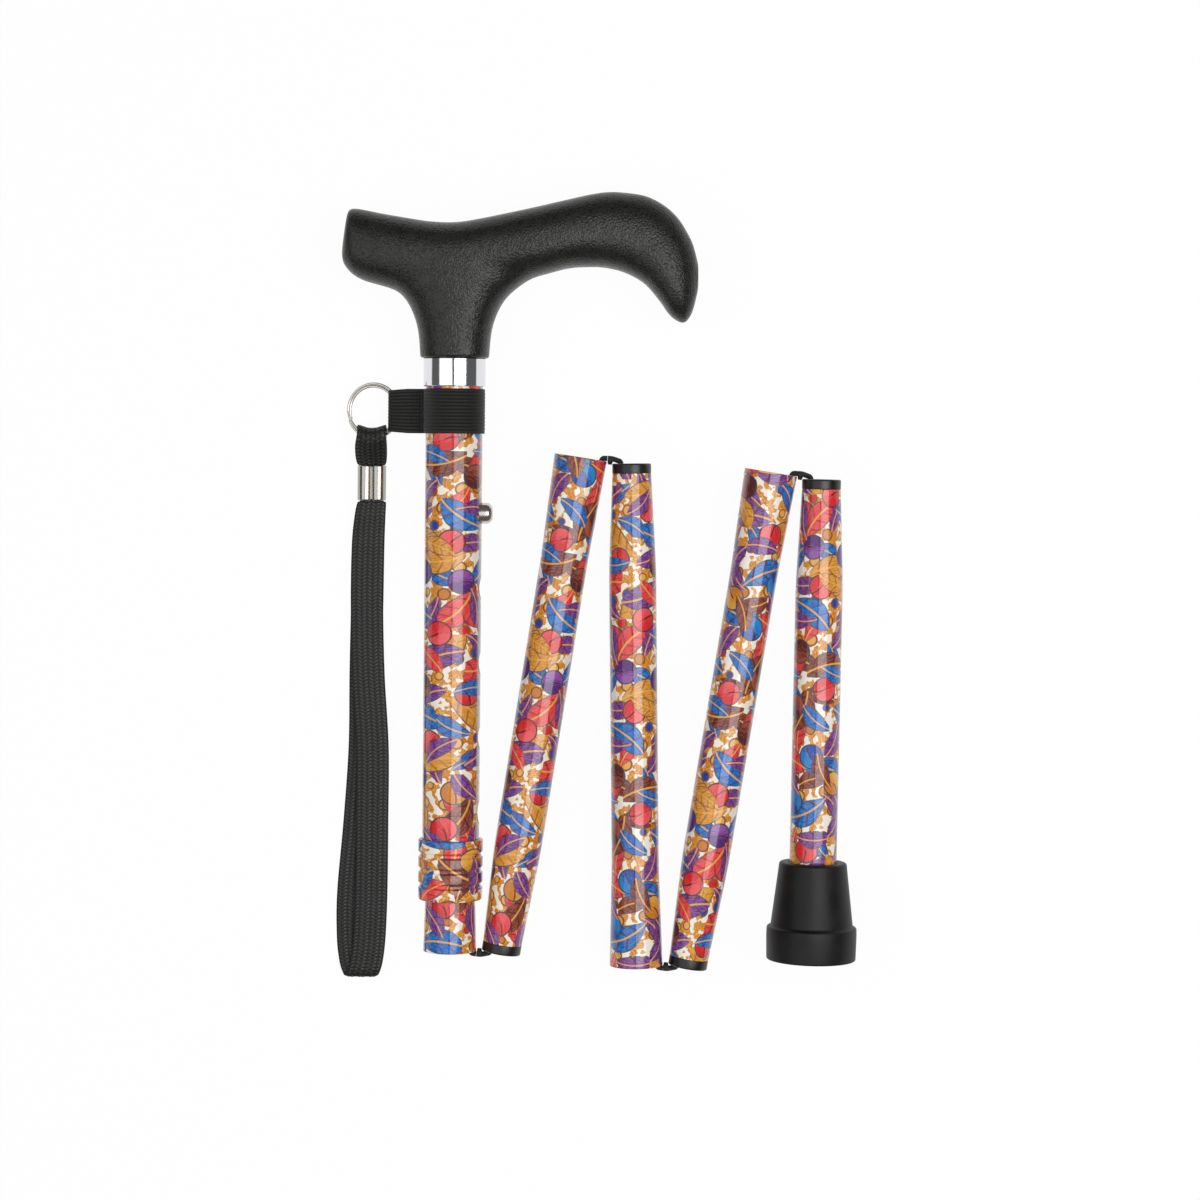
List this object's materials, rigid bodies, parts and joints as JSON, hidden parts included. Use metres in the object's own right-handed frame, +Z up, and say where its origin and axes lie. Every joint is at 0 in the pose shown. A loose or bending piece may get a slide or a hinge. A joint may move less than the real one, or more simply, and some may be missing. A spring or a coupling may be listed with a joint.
{
  "type": "folding cane",
  "caption": "Folding walking cane with a derby handle, push-button length adjuster, wrist strap and rubber tip, its tube sections folded in a zigzag on their elastic cord.",
  "frame": {"origin": "on the table, under the middle of the cane's box without its wrist strap", "axes": "+Z up from the table, +Y along the first section towards the handle, +X from the strap side to the tip side"},
  "size_m": [0.1772, 0.2688, 0.0306],
  "materials": {
    "handle": "fine leather grain, satin",
    "chrome": "polished",
    "printed_tube": "printed film under clear gloss lacquer",
    "printed_collar": "printed, clear gloss lacquer",
    "webbing": "ribbed elastic webbing",
    "braid": "flat herringbone braid",
    "nylon": "moulded",
    "end_cap": "moulded satin",
    "elastic": "braided sleeve",
    "steel": "plated",
    "rubber": "matte"
  },
  "bodies": {
    "upper": {"handle_grip": "handle", "neck_collar": "chrome", "upper_tube": "printed_tube", "grip_ring": "nylon", "strap_band": "webbing"},
    "lock": {"lock_collar": "printed_collar"},
    "strap": {"strap_tab": "webbing", "strap_ring": "chrome", "strap_crimp": "chrome", "wrist_strap": "braid"},
    "adjuster": {"inner_tube": "printed_tube", "guide_bush": "nylon", "button_spring": "steel", "cord_anchor": "nylon", "cord_1": "elastic"},
    "button": {"snap_button": "chrome"},
    "cord_joint_a": {"cord_bend_a": "elastic"},
    "section_2": {"tube_2": "printed_tube", "end_cap_2": "end_cap", "cord_2": "elastic"},
    "cord_joint_b": {"cord_bend_b": "elastic"},
    "section_3": {"tube_3": "printed_tube", "end_cap_3": "end_cap", "cord_3": "elastic"},
    "cord_joint_c": {"cord_bend_c": "elastic"},
    "section_4": {"tube_4": "printed_tube", "end_cap_4": "end_cap", "cord_4": "elastic"},
    "cord_joint_d": {"cord_bend_d": "elastic"},
    "section_5": {"tube_5": "printed_tube", "end_cap_5": "end_cap", "cord_5": "elastic", "foot_plug": "nylon", "rubber_tip": "rubber", "tip_washer": "steel"}
  },
  "joints": [
    {"name": "length_slide", "type": "slide", "parent": "upper", "child": "adjuster", "axis": [0, -1, 0], "range_m": [0, 0.1016], "deforming": ["snap_button"]},
    {"name": "button_press", "type": "slide", "parent": "adjuster", "child": "button", "axis": [-1, 0, 0], "range_m": [0, 0.0048], "stiffness_N_per_m": 1500, "deforming": ["button_spring"]},
    {"name": "lock_turn", "type": "hinge", "parent": "upper", "child": "lock", "pos_m": [-0.04976, -0.095, 0.0153], "axis": [0, 1, 0], "range_deg": [0, 180]},
    {"name": "strap_swing", "type": "hinge", "parent": "upper", "child": "strap", "pos_m": [-0.06066, 0.0577, 0.01197], "axis": [0, 1, 0], "range_deg": [0, 75]},
    {"name": "fold_a", "type": "hinge", "parent": "adjuster", "child": "cord_joint_a", "pos_m": [-0.04126, -0.12695, 0.0153], "axis": [0, 0, -1], "range_deg": [-2, 171.32], "deforming": ["cord_bend_a", "cord_1"]},
    {"name": "seat_a", "type": "slide", "parent": "cord_joint_a", "child": "section_2", "axis": [-0.1509, -0.9885, 0], "range_m": [0, 0.036], "deforming": ["cord_2", "cord_bend_a"]},
    {"name": "fold_b", "type": "hinge", "parent": "section_2", "child": "cord_joint_b", "pos_m": [0.00191, 0.04318, 0.0153], "axis": [0, 0, 1], "range_deg": [-2.01, 170.32], "deforming": ["cord_bend_b"]},
    {"name": "seat_b", "type": "slide", "parent": "cord_joint_b", "child": "section_3", "axis": [-0.0175, 0.9998, 0], "range_m": [0, 0.036], "deforming": ["cord_3", "cord_bend_b"]},
    {"name": "fold_c", "type": "hinge", "parent": "section_3", "child": "cord_joint_c", "pos_m": [0.02196, -0.1312, 0.0153], "axis": [0, 0, -1], "range_deg": [-2.01, 169.9], "deforming": ["cord_bend_c"]},
    {"name": "seat_c", "type": "slide", "parent": "cord_joint_c", "child": "section_4", "axis": [-0.1582, -0.9874, 0], "range_m": [0, 0.036], "deforming": ["cord_4", "cord_bend_c"]},
    {"name": "fold_d", "type": "hinge", "parent": "section_4", "child": "cord_joint_d", "pos_m": [0.06637, 0.03861, 0.0153], "axis": [0, 0, 1], "range_deg": [-2.01, 171.7], "deforming": ["cord_bend_d"]},
    {"name": "seat_d", "type": "slide", "parent": "cord_joint_d", "child": "section_5", "axis": [0.014, 0.9999, 0], "range_m": [0, 0.036], "deforming": ["cord_5", "cord_bend_d"]}
  ],
  "couplings": [
    {"joint": "fold_b", "follows": "fold_a", "ratio": 0.99416},
    {"joint": "fold_c", "follows": "fold_a", "ratio": 0.99172},
    {"joint": "fold_d", "follows": "fold_a", "ratio": 1.0022},
    {"joint": "seat_b", "follows": "seat_a", "ratio": 1},
    {"joint": "seat_c", "follows": "seat_a", "ratio": 1},
    {"joint": "seat_d", "follows": "seat_a", "ratio": 1}
  ]
}
